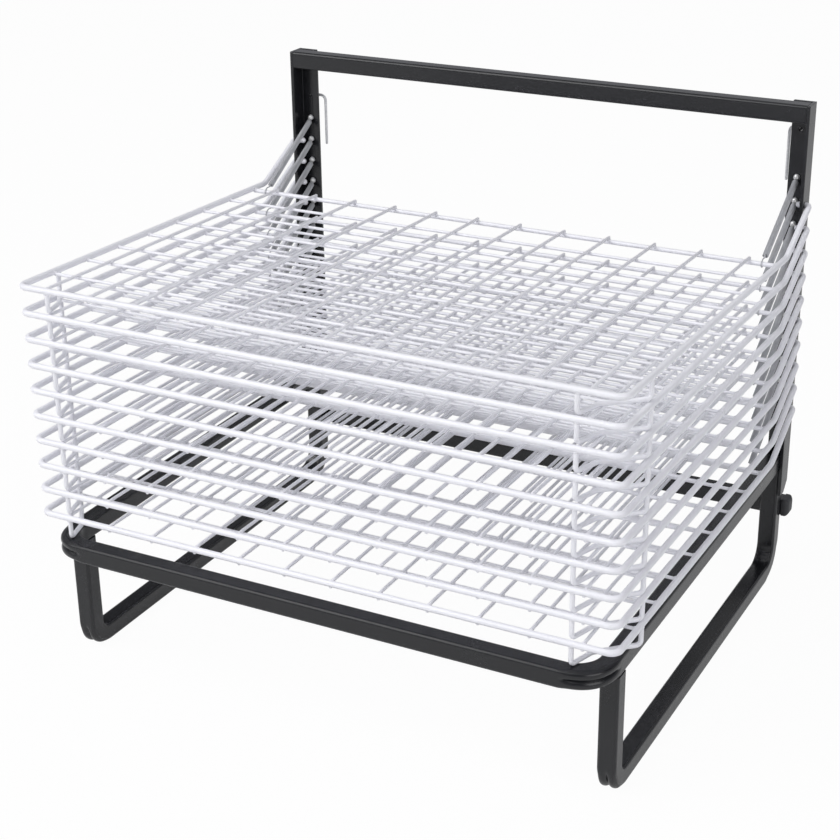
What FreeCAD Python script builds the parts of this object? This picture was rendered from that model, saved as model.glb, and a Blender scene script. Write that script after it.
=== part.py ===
import FreeCAD, Part
import Sketcher
import math
import os

# Table-top drying rack with ten hinged wire shelves.
# X runs to the viewer's right, Y to the back and Z up.
# The origin lies on the floor, midway between the sides and midway between front and back.

Vector = FreeCAD.Vector
Placement = FreeCAD.Placement
Rotation = FreeCAD.Rotation

doc = FreeCAD.newDocument("drying_rack")

# Driving sizes in millimetres and degrees
SIZES = (
    # Steel frame
    ("rack_width", 460.0, "over the outer faces of the uprights"),
    ("rack_depth", 414.2, "platform front to the back of the end caps"),
    ("rack_height", 404.0, "floor to the top of the uprights"),
    ("tube_side", 14.3, "square tube, outside"),
    ("tube_wall", 1.2, "square tube, wall"),
    ("angle_width", 17.7, "upright angle, back flange"),
    ("angle_depth", 17.5, "upright angle, outer flange"),
    ("angle_thick", 2.8, "upright angle, thickness"),
    ("angle_foot_height", 75.6, "floor to the lower end of the uprights"),
    ("angle_corner_cut", 8.5, "corner cut off the lower end"),
    ("platform_height", 110.8, "floor to the platform's top face"),
    ("platform_bend", 32.0, "outer radius of the platform's corners"),
    ("leg_setback", 29.4, "platform front to the front legs' front face"),
    ("leg_front_bend", 21.0, "outer radius of the legs' front bend"),
    ("leg_rear_bend", 29.0, "outer radius of the legs' rear bend"),
    ("pinch_depth", 1.8, "depth of the fold pressed into the outside of each bend"),
    ("crossbar_height", 50.5, "floor to the crossbar's lower face"),
    # Crossbar end caps
    ("cap_side", 16.6, "end cap head, square"),
    ("cap_head", 6.4, "end cap head, thickness"),
    ("cap_bevel", 2.6, "bevel round the head's outer face"),
    ("cap_plug", 11.0, "length of the plug in the tube"),
    ("cap_play", 0.1, "plug to tube bore, each side"),
    # Shelf hinges
    ("pivot_setback", 7.8, "front edge of the outer flange to the hinge line"),
    ("pivot_drop", 79.6, "top of the uprights to the top hinge"),
    ("pivot_first", 42.15, "platform's top face to the lowest hinge"),
    ("pivot_play", 0.06, "hinge wire to its hole, radial"),
    ("pivot_stop", 7.6, "outer face of the upright to the wire's tip"),
    ("pivot_bend", 2.55, "centre radius of the wire's inward bend"),
    # Wire shelves
    ("rim_wire", 4.8, "rim wire, diameter"),
    ("mesh_wire", 2.5, "mesh wire, diameter"),
    ("back_wire", 3.6, "back bar, diameter"),
    ("foot_wire", 3.5, "stand-off wire, diameter"),
    ("side_gap", 0.45, "upright to the rim's side wire"),
    ("shelf_reach", 383.5, "hinge line to the front bar"),
    ("back_reach", 70.4, "hinge line to the back bar"),
    ("bend_reach", 52.0, "hinge line to the rear bend of the side wire"),
    ("pivot_rise", 28.4, "shelf plane to the hinge line"),
    ("rim_corner", 7.0, "centre radius of the rim's front corners"),
    ("rim_rear_bend", 16.0, "centre radius of the rim's rear bends"),
    ("mesh_inset", 23.85, "side wire to the outermost depth wire"),
    ("mesh_overrun", 4.0, "depth wires past the back bar"),
    # Corner stand-offs
    ("foot_drop", 17.05, "rim centre to the underside of a stand-off"),
    ("foot_front_inset", 31.8, "side wire to the right stand-offs' front leg"),
    ("foot_left_inset", 25.2, "side wire to the left stand-offs' front leg"),
    ("foot_side_reach", 45.0, "front bar to the stand-off's side leg"),
    ("foot_knee_side", 6.5, "front leg to the stand-off's knee, sideways"),
    ("foot_knee_reach", 21.0, "front bar to the stand-off's knee"),
    ("foot_bend", 3.4, "centre radius of the stand-off's lower bends"),
    ("rest_gap", 0.45, "stand-off to what it rests over"),
    # Springs and studs
    ("stud_inset", 10.4, "outer face of the upright to the stud"),
    ("stud_rise", 19.5, "hinge to its stud"),
    ("stud_head", 5.4, "stud head, diameter"),
    ("stud_head_thick", 1.5, "stud head, thickness"),
    ("stud_neck", 3.0, "stud neck, diameter"),
    ("stud_neck_length", 2.2, "stud neck, flange to head"),
    ("spring_coil", 4.9, "spring body, outside diameter"),
    ("spring_wire", 1.0, "spring wire, diameter"),
    ("spring_drop", 3.3, "stud centre to the spring's line of pull"),
    ("spring_top_gap", 2.6, "start of that line to the spring body"),
    ("spring_hook", 13.5, "spring body to the back bar's centre"),
    ("hook_gap", 0.4, "spring hook to the back bar"),
    # Latch wires
    ("latch_wire", 2.4, "latch wire, diameter"),
    ("latch_play", 0.08, "latch wire to its hole, radial"),
    ("latch_back", 3.2, "back flange to the latch wire's hanging leg"),
    ("latch_shift", 11.7, "stud row to the hanging leg"),
    ("latch_length", 43.5, "length of the hanging leg"),
    ("latch_bend", 2.8, "centre radius of the bend behind the hole"),
    ("latch_drop_bend", 4.8, "centre radius of the bend down to the hanging leg"),
    ("latch_front", 1.6, "latch wire in front of the flange"),
)

SHELF_COUNT = 10
MESH_WIRES = 12
CROSS_WIRES = 7
WIRE_SIDES = 6
STUD_SIDES = 8
RIM_CHORD = 24
FOOT_CHORD = 45

sheet = doc.addObject("Spreadsheet::Sheet", "Sizes")
for row, (alias, number, meaning) in enumerate(SIZES, start=1):
    sheet.set("A%d" % row, meaning)
    sheet.set("B%d" % row, str(number))
    sheet.setAlias("B%d" % row, alias)
doc.recompute()


def size(alias):
    """One driving size as a number."""
    return float(getattr(sheet, alias))


# Places that several pieces share
front_face = -size("rack_depth") / 2
back_face = size("rack_depth") / 2
crossbar_back = back_face - (size("cap_side") - size("tube_side")) / 2
leg_back = crossbar_back - size("tube_side")
leg_front = leg_back - size("tube_side")
angle_back = leg_back + size("angle_thick")
angle_front = angle_back - size("angle_depth")
outer_face = size("rack_width") / 2
frame_side = outer_face - size("angle_thick")
tube_half = size("tube_side") / 2
pivot_y = angle_front + size("pivot_setback")
side_wire_x = outer_face + size("side_gap") + size("rim_wire") / 2
stud_x = outer_face - size("stud_inset")
hinge_row = size("rack_height") - size("pivot_drop") - size("platform_height") - size("pivot_first")
pivot_pitch = hinge_row / (SHELF_COUNT - 1)
mesh_pitch = 2 * (side_wire_x - size("mesh_inset")) / (MESH_WIRES - 1)
HINGE_ROW_RULE = (
    "(Sizes.rack_height - Sizes.pivot_drop - Sizes.platform_height - Sizes.pivot_first)"
)


def pivot_z(shelf):
    """Height of one shelf's hinge; shelf 0 is the top one."""
    return size("rack_height") - size("pivot_drop") - shelf * pivot_pitch


def latch_z(step):
    """Height of a latch hole, that many holes above the top stud."""
    return pivot_z(0) + size("stud_rise") + step * pivot_pitch


def polygon_radius(diameter, sides):
    """Corner radius of a regular polygon with the area of a round wire."""
    area = math.pi * diameter * diameter / 4
    return math.sqrt(2 * area / (sides * math.sin(2 * math.pi / sides)))


def polygon_flat(diameter, sides):
    """Distance from that polygon's centre to its flats."""
    return polygon_radius(diameter, sides) * math.cos(math.pi / sides)


rim_flat = polygon_flat(size("rim_wire"), WIRE_SIDES)
rim_reach = polygon_radius(size("rim_wire"), WIRE_SIDES)
mesh_flat = polygon_flat(size("mesh_wire"), WIRE_SIDES)
back_flat = polygon_flat(size("back_wire"), WIRE_SIDES)
foot_flat = polygon_flat(size("foot_wire"), WIRE_SIDES)


def rest_tilt(shelf):
    """Angle by which a shelf's front is raised at rest, from the stack of stand-offs under it."""
    below = SHELF_COUNT - 1 - shelf
    front_z = size("platform_height") + size("foot_drop") + size("rest_gap")
    front_z += below * (size("foot_drop") + rim_reach + size("rest_gap"))
    height = front_z - pivot_z(shelf)
    distance = math.hypot(size("shelf_reach"), size("pivot_rise"))
    slope = math.atan2(size("pivot_rise"), size("shelf_reach"))
    return math.degrees(math.asin(height / distance) + slope)


def shelf_placement(shelf):
    """Where a shelf hangs: its own frame has the hinge line as its origin."""
    turn = Rotation(Vector(1, 0, 0), -rest_tilt(shelf))
    return Placement(Vector(0, pivot_y, pivot_z(shelf)), turn)


# Helpers for bent wires and tubes
def bent_path(points, radii, chord_angle=0):
    """A wire through the points, bent to the given radius at each inner point.

    Each bend is one arc, or straight chords of about chord_angle degrees where that is given.
    """
    edges = []
    start = points[0]
    for before, corner, after, radius in zip(points, points[1:], points[2:], radii):
        towards = (before - corner).normalize()
        away = (after - corner).normalize()
        half = towards.getAngle(away) / 2
        setback = radius / math.tan(half)
        first = corner + towards * setback
        last = corner + away * setback
        centre = corner + (towards + away).normalize() * (radius / math.sin(half))
        edges.append(Part.LineSegment(start, first).toShape())
        if chord_angle:
            turn = 180 - math.degrees(2 * half)
            steps = max(1, round(turn / chord_angle))
            spoke = first - centre
            axis = spoke.cross(corner - first).normalize()
            for step in range(steps):
                here = centre + Rotation(axis, turn * step / steps).multVec(spoke)
                there = centre + Rotation(axis, turn * (step + 1) / steps).multVec(spoke)
                edges.append(Part.LineSegment(here, there).toShape())
        else:
            middle = centre + (corner - centre).normalize() * radius
            edges.append(Part.Arc(first, middle, last).toShape())
        start = last
    edges.append(Part.LineSegment(start, points[-1]).toShape())
    return Part.Wire(edges)


def facing(place, along, flat):
    """A placement whose Z runs along the wire and whose Y is square to one flat."""
    third = flat.cross(along)
    return Placement(place, Rotation(third, flat, along, "ZYX"))


def swept(name, points, radii, sides, corner_radius, flat, chord_angle=0):
    """A bent bar of regular polygon section."""
    path = doc.addObject("Part::Feature", name + "_path")
    path.Shape = bent_path(points, radii, chord_angle)
    section = doc.addObject("Part::RegularPolygon", name + "_section")
    section.Polygon = sides
    section.Circumradius = corner_radius
    section.Placement = facing(points[0], (points[1] - points[0]).normalize(), flat)
    bar = doc.addObject("Part::Sweep", name)
    bar.Sections = [section]
    bar.Spine = (path, ["Edge%d" % (i + 1) for i in range(len(path.Shape.Edges))])
    bar.Solid = True
    bar.Frenet = False
    bar.Transition = "Right corner"
    return bar


def square_tube(name, points, radii, flat):
    """A bent square tube with its bore."""
    shrink = [radius - size("tube_side") / 2 for radius in radii]
    outside = swept(name + "_outside", points, shrink, 4, 1.0, flat)
    outside.Sections[0].setExpression("Circumradius", "Sizes.tube_side / sqrt(2)")
    bore = swept(name + "_bore", points, shrink, 4, 1.0, flat)
    bore.Sections[0].setExpression(
        "Circumradius", "(Sizes.tube_side - 2 * Sizes.tube_wall) / sqrt(2)"
    )
    tube = doc.addObject("Part::Cut", name + "_open")
    tube.Base = outside
    tube.Tool = bore
    return outside, tube


def pinched(name, outside, tube, bends):
    """The tube with the fold that bending presses into the outside of each bend."""
    folds = []
    grooves = []
    for number, (centre, spoke, axis, radius_alias) in enumerate(bends):
        wall = centre + spoke * size(radius_alias)
        for kind, rule, rings in (
            ("fold", "Sizes.pinch_depth + 2 * Sizes.tube_wall", folds),
            ("groove", "Sizes.pinch_depth", grooves),
        ):
            title = "%s_%s_%d" % (name, kind, number)
            wedge = doc.addObject("Part::RegularPolygon", title + "_section")
            wedge.Polygon = 3
            wedge.setExpression("Circumradius", rule)
            wedge.Placement = Placement(wall, Rotation(spoke * -1, axis, axis.cross(spoke), "ZXY"))
            ring = doc.addObject("Part::Revolution", title)
            ring.Source = wedge
            ring.Base = centre
            ring.Axis = axis
            ring.Angle = 90
            ring.Solid = True
            rings.append(ring)
    rolls = doc.addObject("Part::MultiFuse", name + "_rolls")
    rolls.Shapes = folds
    inside = doc.addObject("Part::Common", name + "_folds")
    inside.Base = outside
    inside.Tool = rolls
    whole = doc.addObject("Part::Fuse", name + "_whole")
    whole.Base = tube
    whole.Tool = inside
    cutter = doc.addObject("Part::MultiFuse", name + "_grooves")
    cutter.Shapes = grooves
    result = doc.addObject("Part::Cut", name)
    result.Base = whole
    result.Tool = cutter
    return result


def rod(name, start, end, corner_radius, flat):
    """A straight wire of regular polygon section."""
    bar = doc.addObject("Part::Prism", name)
    bar.Polygon = WIRE_SIDES
    bar.Circumradius = corner_radius
    bar.Height = (end - start).Length
    bar.Placement = facing(start, (end - start).normalize(), flat)
    return bar


def copy_of(name, master, placement):
    """One more copy of a finished piece, in its own place."""
    copy = doc.addObject("Part::Compound", name)
    copy.Links = [master]
    copy.Placement = placement
    return copy


def mirror_of(name, source):
    """The same piece on the other side of the rack."""
    twin = doc.addObject("Part::Mirroring", name)
    twin.Source = source
    twin.Base = Vector(0, 0, 0)
    twin.Normal = Vector(1, 0, 0)
    return twin


def group_of(name, members):
    """Several solids that make one piece."""
    group = doc.addObject("Part::Compound", name)
    group.Links = members
    return group


# Sketches on a body's own planes
def origin_plane(body, role):
    """One of the body's origin planes."""
    for feature in body.Origin.OriginFeatures:
        if feature.Role == role:
            return feature
    raise RuntimeError("no plane " + role)


def loop_sketch(body, name, role, loops):
    """A sketch of closed straight-sided loops; every corner is bound to the sheet."""
    sketch = body.newObject("Sketcher::SketchObject", name)
    sketch.AttachmentSupport = [(origin_plane(body, role), "")]
    sketch.MapMode = "FlatFace"
    for loop in loops:
        first = sketch.GeometryCount
        count = len(loop)
        spots = []
        for corner in range(count):
            angle = 2 * math.pi * corner / count
            spots.append(Vector(10 * math.cos(angle), 10 * math.sin(angle), 0))
        for corner in range(count):
            sketch.addGeometry(Part.LineSegment(spots[corner], spots[(corner + 1) % count]))
        for corner in range(count):
            following = first + (corner + 1) % count
            sketch.addConstraint(
                Sketcher.Constraint("Coincident", first + corner, 2, following, 1)
            )
        for corner, (across, upward) in enumerate(loop):
            for kind, rule, spot in (
                ("DistanceX", across, spots[corner].x),
                ("DistanceY", upward, spots[corner].y),
            ):
                index = sketch.addConstraint(
                    Sketcher.Constraint(kind, -1, 1, first + corner, 1, spot)
                )
                sketch.setExpression("Constraints[%d]" % index, rule)
    return sketch


def square_loop(side):
    """Corners of a square about the sketch's origin."""
    half = "(%s) / 2" % side
    return [
        ("-" + half, "-" + half),
        (half, "-" + half),
        (half, half),
        ("-" + half, half),
    ]


def body_of(name, place):
    """A new body at its place in the rack."""
    body = doc.addObject("PartDesign::Body", name)
    body.Placement.Base = place
    return body


# Uprights: steel angle with a row of hinge holes and a latch hole
def upright(name, latch_step):
    """The right-hand upright, standing on its lower end's outer rear corner."""
    body = body_of(name, Vector(outer_face, angle_back, size("angle_foot_height")))
    outline = [
        ("0", "0"),
        ("0", "-Sizes.angle_depth"),
        ("-Sizes.angle_thick", "-Sizes.angle_depth"),
        ("-Sizes.angle_thick", "-Sizes.angle_thick"),
        ("-Sizes.angle_width", "-Sizes.angle_thick"),
        ("-Sizes.angle_width", "0"),
    ]
    profile = loop_sketch(body, name + "_profile", "XY_Plane", [outline])
    bar = body.newObject("PartDesign::Pad", name + "_bar")
    bar.Profile = profile
    bar.setExpression("Length", "Sizes.rack_height - Sizes.angle_foot_height")
    doc.recompute()
    # Lower rear corner of the outer flange, cut off at a slant
    slant = [
        ("1", "-1"),
        ("1", "Sizes.angle_corner_cut"),
        ("0", "Sizes.angle_corner_cut"),
        ("-Sizes.angle_corner_cut", "0"),
        ("-Sizes.angle_corner_cut", "-1"),
    ]
    corner = loop_sketch(body, name + "_slant", "YZ_Plane", [slant])
    cut = body.newObject("PartDesign::Pocket", name + "_corner")
    cut.Profile = corner
    cut.Midplane = True
    cut.Length = 4 * size("angle_width")
    doc.recompute()
    # Row of hinge holes through the outer flange
    hole = body.newObject("Sketcher::SketchObject", name + "_hinge_hole")
    hole.AttachmentSupport = [(origin_plane(body, "YZ_Plane"), "")]
    hole.MapMode = "FlatFace"
    spot = Vector(pivot_y - angle_back, pivot_z(SHELF_COUNT - 1) - size("angle_foot_height"), 0)
    hole.addGeometry(Part.Circle(spot, Vector(0, 0, 1), size("rim_wire") / 2))
    for kind, rule, start in (
        ("DistanceX", "-Sizes.angle_depth + Sizes.pivot_setback", spot.x),
        ("DistanceY", "Sizes.platform_height + Sizes.pivot_first - Sizes.angle_foot_height", spot.y),
    ):
        index = hole.addConstraint(Sketcher.Constraint(kind, -1, 1, 0, 3, start))
        hole.setExpression("Constraints[%d]" % index, rule)
    index = hole.addConstraint(Sketcher.Constraint("Radius", 0, size("rim_wire") / 2))
    hole.setExpression("Constraints[%d]" % index, "%.9f * Sizes.rim_wire + Sizes.pivot_play" % (
        polygon_radius(1.0, WIRE_SIDES)))
    drilled = body.newObject("PartDesign::Pocket", name + "_hinge_drill")
    drilled.Profile = hole
    drilled.Midplane = True
    drilled.setExpression("Length", "4 * Sizes.angle_thick")
    doc.recompute()
    row = body.newObject("PartDesign::LinearPattern", name + "_hinge_row")
    row.Originals = [drilled]
    row.Direction = (hole, ["V_Axis"])
    row.Occurrences = SHELF_COUNT
    row.setExpression("Length", HINGE_ROW_RULE)
    body.Tip = row
    doc.recompute()
    # One hole above the stud row for the latch wire
    latch = body.newObject("Sketcher::SketchObject", name + "_latch_hole")
    latch.AttachmentSupport = [(origin_plane(body, "XZ_Plane"), "")]
    latch.MapMode = "FlatFace"
    spot = Vector(-size("stud_inset"), latch_z(latch_step) - size("angle_foot_height"), 0)
    latch.addGeometry(Part.Circle(spot, Vector(0, 0, 1), size("latch_wire") / 2))
    height = (
        "Sizes.rack_height - Sizes.angle_foot_height - Sizes.pivot_drop"
        " + Sizes.stud_rise + %s * %d / %d" % (HINGE_ROW_RULE, latch_step, SHELF_COUNT - 1)
    )
    for kind, rule, start in (
        ("DistanceX", "-Sizes.stud_inset", spot.x),
        ("DistanceY", height, spot.y),
    ):
        index = latch.addConstraint(Sketcher.Constraint(kind, -1, 1, 0, 3, start))
        latch.setExpression("Constraints[%d]" % index, rule)
    index = latch.addConstraint(Sketcher.Constraint("Radius", 0, size("latch_wire") / 2))
    latch.setExpression("Constraints[%d]" % index, "%.9f * Sizes.latch_wire + Sizes.latch_play" % (
        polygon_radius(1.0, WIRE_SIDES)))
    bored = body.newObject("PartDesign::Pocket", name + "_latch_drill")
    bored.Profile = latch
    bored.Midplane = True
    bored.setExpression("Length", "4 * Sizes.angle_thick")
    doc.recompute()
    return body


right_upright = upright("right_upright", 2)
left_source = upright("left_upright_source", 1)
left_upright = mirror_of("left_upright", left_source)


# Straight bars: top bar between the uprights and crossbar behind the rear legs
def straight_bar(name, middle_y, middle_z):
    """A straight square tube across the rack."""
    body = body_of(name, Vector(0, middle_y, middle_z))
    loops = [
        square_loop("Sizes.tube_side"),
        square_loop("Sizes.tube_side - 2 * Sizes.tube_wall"),
    ]
    section = loop_sketch(body, name + "_section", "YZ_Plane", loops)
    pad = body.newObject("PartDesign::Pad", name + "_pad")
    pad.Profile = section
    pad.Midplane = True
    pad.setExpression("Length", "Sizes.rack_width - 2 * Sizes.angle_thick")
    doc.recompute()
    return body


top_bar = straight_bar("top_bar", angle_front + tube_half, size("rack_height") - tube_half)
crossbar_z = size("crossbar_height") + tube_half
rear_crossbar = straight_bar("rear_crossbar", leg_back + tube_half, crossbar_z)


# End caps: bevelled heads with plugs in the crossbar's ends
def end_cap(name):
    """The right-hand cap; its head stands outside the rear leg."""
    body = body_of(name, Vector(frame_side, leg_back + tube_half, crossbar_z))
    head_section = loop_sketch(body, name + "_head_section", "YZ_Plane", [square_loop("Sizes.cap_side")])
    head = body.newObject("PartDesign::Pad", name + "_head")
    head.Profile = head_section
    head.setExpression("Length", "Sizes.cap_head")
    doc.recompute()
    plug_side = "Sizes.tube_side - 2 * Sizes.tube_wall - 2 * Sizes.cap_play"
    plug_section = loop_sketch(body, name + "_plug_section", "YZ_Plane", [square_loop(plug_side)])
    plug = body.newObject("PartDesign::Pad", name + "_plug")
    plug.Profile = plug_section
    plug.Reversed = True
    plug.setExpression("Length", "Sizes.cap_plug")
    doc.recompute()
    outer = frame_side + size("cap_head")
    rim = []
    for index, edge in enumerate(plug.Shape.Edges):
        ends = [body.Placement.multVec(vertex.Point).x for vertex in edge.Vertexes]
        local = [vertex.Point.x for vertex in edge.Vertexes]
        if all(abs(x - outer) < 1e-6 for x in ends) or all(abs(x - size("cap_head")) < 1e-6 for x in local):
            rim.append("Edge%d" % (index + 1))
    bevel = body.newObject("PartDesign::Chamfer", name + "_bevel")
    bevel.Base = (plug, rim)
    bevel.setExpression("Size", "Sizes.cap_bevel")
    body.Tip = bevel
    doc.recompute()
    return body


right_end_cap = end_cap("right_end_cap")
left_end_cap = mirror_of("left_end_cap", right_end_cap)

# Platform: one tube bent round three sides
platform_z = size("platform_height") - tube_half
platform_x = frame_side - tube_half
platform_front = front_face + tube_half
platform_points = [
    Vector(-platform_x, leg_front, platform_z),
    Vector(-platform_x, platform_front, platform_z),
    Vector(platform_x, platform_front, platform_z),
    Vector(platform_x, leg_front, platform_z),
]
platform_outside, platform_tube = square_tube(
    "platform",
    platform_points,
    [size("platform_bend")] * 2,
    Vector(math.sqrt(0.5), 0, math.sqrt(0.5)),
)
bend_x = frame_side - size("platform_bend")
bend_y = front_face + size("platform_bend")
base_platform = pinched(
    "base_platform",
    platform_outside,
    platform_tube,
    (
        (Vector(-bend_x, bend_y, platform_z), Vector(-1, 0, 0), Vector(0, 0, 1), "platform_bend"),
        (Vector(bend_x, bend_y, platform_z), Vector(0, -1, 0), Vector(0, 0, 1), "platform_bend"),
    ),
)

# Sled legs: one tube each side, bent up at the front and at the rear
leg_x = frame_side - tube_half
leg_low = tube_half
leg_front_y = front_face + size("leg_setback") + tube_half
leg_rear_y = leg_back - tube_half
leg_points = [
    Vector(leg_x, leg_front_y, size("platform_height") - size("tube_side")),
    Vector(leg_x, leg_front_y, leg_low),
    Vector(leg_x, leg_rear_y, leg_low),
    Vector(leg_x, leg_rear_y, size("platform_height")),
]
leg_outside, leg_tube = square_tube(
    "leg",
    leg_points,
    [size("leg_front_bend"), size("leg_rear_bend")],
    Vector(math.sqrt(0.5), math.sqrt(0.5), 0),
)
leg_front_centre = Vector(
    leg_x, leg_front_y - tube_half + size("leg_front_bend"), size("leg_front_bend")
)
leg_rear_centre = Vector(leg_x, leg_back - size("leg_rear_bend"), size("leg_rear_bend"))
right_sled_leg = pinched(
    "right_sled_leg",
    leg_outside,
    leg_tube,
    (
        (leg_front_centre, Vector(0, -1, 0), Vector(1, 0, 0), "leg_front_bend"),
        (leg_rear_centre, Vector(0, 0, -1), Vector(1, 0, 0), "leg_rear_bend"),
    ),
)
left_sled_leg = mirror_of("left_sled_leg", right_sled_leg)

# Spring studs: headed studs on the back flanges, one per shelf end
neck = doc.addObject("Part::Prism", "stud_neck")
neck.Polygon = WIRE_SIDES
neck.setExpression("Circumradius", "Sizes.stud_neck / 2")
neck.setExpression("Height", "Sizes.stud_neck_length")
head = doc.addObject("Part::Prism", "stud_head")
head.Polygon = STUD_SIDES
head.setExpression("Circumradius", "Sizes.stud_head / 2")
head.setExpression("Height", "Sizes.stud_head_thick")
head.setExpression("Placement.Base.z", "Sizes.stud_neck_length")
stud_master = doc.addObject("Part::Fuse", "stud_master")
stud_master.Base = neck
stud_master.Tool = head

forward = Rotation(Vector(1, 0, 0), 90)
studs = []
for shelf in range(SHELF_COUNT):
    for side in (-1, 1):
        place = Vector(side * stud_x, leg_back, pivot_z(shelf) + size("stud_rise"))
        studs.append(copy_of("stud_%d" % len(studs), stud_master, Placement(place, forward)))
spring_studs = group_of("spring_studs", studs)


# Latch wires: hooked through the angle above the studs, hanging behind it
def latch_wire(name, side, step):
    """A bent wire that swivels in its hole."""
    top = latch_z(step)
    hole_x = side * stud_x
    hang_x = side * (stud_x - size("latch_shift"))
    hang_y = angle_back + size("latch_back")
    points = [
        Vector(hole_x, leg_back - size("latch_front"), top),
        Vector(hole_x, hang_y, top),
        Vector(hang_x, hang_y, top),
        Vector(hang_x, hang_y, top - size("latch_length")),
    ]
    corner_radius = polygon_radius(size("latch_wire"), WIRE_SIDES)
    bends = [size("latch_bend"), size("latch_drop_bend")]
    return swept(name, points, bends, WIRE_SIDES, corner_radius, Vector(0, 0, 1), FOOT_CHORD)


left_latch_wire = latch_wire("left_latch_wire", -1, 1)
right_latch_wire = latch_wire("right_latch_wire", 1, 2)

# Shelf pieces in the shelf's own frame: hinge line at the origin, shelf plane below it
plane_z = -size("pivot_rise")
bar_y = -size("shelf_reach")
tip_x = outer_face - size("pivot_stop")
arm = Vector(0, -size("bend_reach"), plane_z).normalize()
rim_points = [
    Vector(-tip_x, 0, 0),
    Vector(-side_wire_x, 0, 0),
    Vector(-side_wire_x, -size("bend_reach"), plane_z),
    Vector(-side_wire_x, bar_y, plane_z),
    Vector(side_wire_x, bar_y, plane_z),
    Vector(side_wire_x, -size("bend_reach"), plane_z),
    Vector(side_wire_x, 0, 0),
    Vector(tip_x, 0, 0),
]
rim_bends = [
    size("pivot_bend"),
    size("rim_rear_bend"),
    size("rim_corner"),
    size("rim_corner"),
    size("rim_rear_bend"),
    size("pivot_bend"),
]
rim_master = swept("rim_master", rim_points, rim_bends, WIRE_SIDES, rim_reach, arm, RIM_CHORD)

# Mesh: depth wires lie on cross wires and on the back bar, and all butt against the rim
mesh_rods = []
mesh_radius = polygon_radius(size("mesh_wire"), WIRE_SIDES)
rim_inner_x = side_wire_x - rim_flat
rim_inner_y = bar_y + rim_flat
up = Vector(0, 0, 1)
for number in range(MESH_WIRES):
    x = (number - (MESH_WIRES - 1) / 2) * mesh_pitch
    start = Vector(x, rim_inner_y, plane_z + mesh_flat)
    end = Vector(x, -size("back_reach") + size("mesh_overrun"), plane_z + mesh_flat)
    mesh_rods.append(rod("depth_wire_%d" % number, start, end, mesh_radius, up))
cell = (size("shelf_reach") - size("back_reach")) / (CROSS_WIRES + 1)
for number in range(CROSS_WIRES):
    y = bar_y + (number + 1) * cell
    start = Vector(-rim_inner_x, y, plane_z - mesh_flat)
    end = Vector(rim_inner_x, y, plane_z - mesh_flat)
    mesh_rods.append(rod("cross_wire_%d" % number, start, end, mesh_radius, up))
back_radius = polygon_radius(size("back_wire"), WIRE_SIDES)
start = Vector(-rim_inner_x, -size("back_reach"), plane_z - back_flat)
end = Vector(rim_inner_x, -size("back_reach"), plane_z - back_flat)
mesh_rods.append(rod("back_bar", start, end, back_radius, up))
mesh_master = group_of("mesh_master", mesh_rods)

# Stand-offs: a bent wire under each front corner
foot_low = plane_z - size("foot_drop") + foot_flat
foot_top = plane_z - rim_reach / 2
foot_radius = polygon_radius(size("foot_wire"), WIRE_SIDES)
foot_bends = [size("foot_bend"), 2 * size("foot_bend"), size("foot_bend")]


def stand_off(name, inset):
    """The wire under the right front corner, its front leg that far from the side wire."""
    front_x, side_y = side_wire_x - inset, bar_y + size("foot_side_reach")
    knee = Vector(front_x + size("foot_knee_side"), bar_y + size("foot_knee_reach"), foot_low)
    points = [
        Vector(front_x, bar_y, foot_top),
        Vector(front_x, bar_y, foot_low),
        knee,
        Vector(side_wire_x, side_y, foot_low),
        Vector(side_wire_x, side_y, foot_top),
    ]
    run = (points[2] - points[1]).normalize()
    return swept(name, points, foot_bends, WIRE_SIDES, foot_radius, run, FOOT_CHORD)


right_foot = stand_off("right_foot", size("foot_front_inset"))
left_pattern = stand_off("left_foot_pattern", size("foot_left_inset"))
left_foot = mirror_of("left_foot", left_pattern)
feet_master = group_of("feet_master", [left_foot, right_foot])

rims = []
meshes = []
feet = []
for shelf in range(SHELF_COUNT):
    where = shelf_placement(shelf)
    label = "shelf_%02d_" % (shelf + 1)
    rims.append(copy_of(label + "rim", rim_master, where))
    meshes.append(copy_of(label + "mesh", mesh_master, where))
    feet.append(copy_of(label + "feet", feet_master, where))


# Springs: a close-wound body with a straight wire at each end, from stud to back bar
def spring_ends(shelf, side):
    """Stud centre, start of the line of pull under it, and back bar centre of one spring."""
    stud_y = leg_back - size("stud_neck_length") / 2
    stud = Vector(side * stud_x, stud_y, pivot_z(shelf) + size("stud_rise"))
    pull = stud - Vector(0, 0, size("spring_drop"))
    bar = Vector(side * stud_x, -size("back_reach"), plane_z - back_flat)
    return stud, pull, shelf_placement(shelf).multVec(bar)


def plain_spring(name, shelf, side):
    """The body as a plain bar, with its two end wires."""
    stud, pull, bar = spring_ends(shelf, side)
    along = (bar - pull).normalize()
    flat = Vector(1, 0, 0)
    body_start = pull + along * size("spring_top_gap")
    body_end = bar - along * size("spring_hook")
    wire_start = stud - Vector(0, 0, size("stud_neck") / 2)
    wire_end = bar - along * (back_radius + size("hook_gap"))
    thin = polygon_radius(size("spring_wire"), WIRE_SIDES)
    thick = polygon_radius(size("spring_coil"), WIRE_SIDES)
    pieces = [
        rod(name + "_neck", wire_start, pull, thin, flat),
        rod(name + "_top", pull, body_start, thin, flat),
        rod(name + "_body", body_start, body_end, thick, flat),
        rod(name + "_end", body_end, wire_end, thin, flat),
    ]
    spring = doc.addObject("Part::MultiFuse", name)
    spring.Shapes = pieces
    return spring


spring_pairs = []
for shelf in range(SHELF_COUNT):
    label = "spring_pair_%02d" % (shelf + 1)
    pair = []
    for end, side in (("left", -1), ("right", 1)):
        pair.append(plain_spring("%s_%s" % (label, end), shelf, side))
    spring_pairs.append(group_of(label, pair))

doc.recompute()

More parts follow.
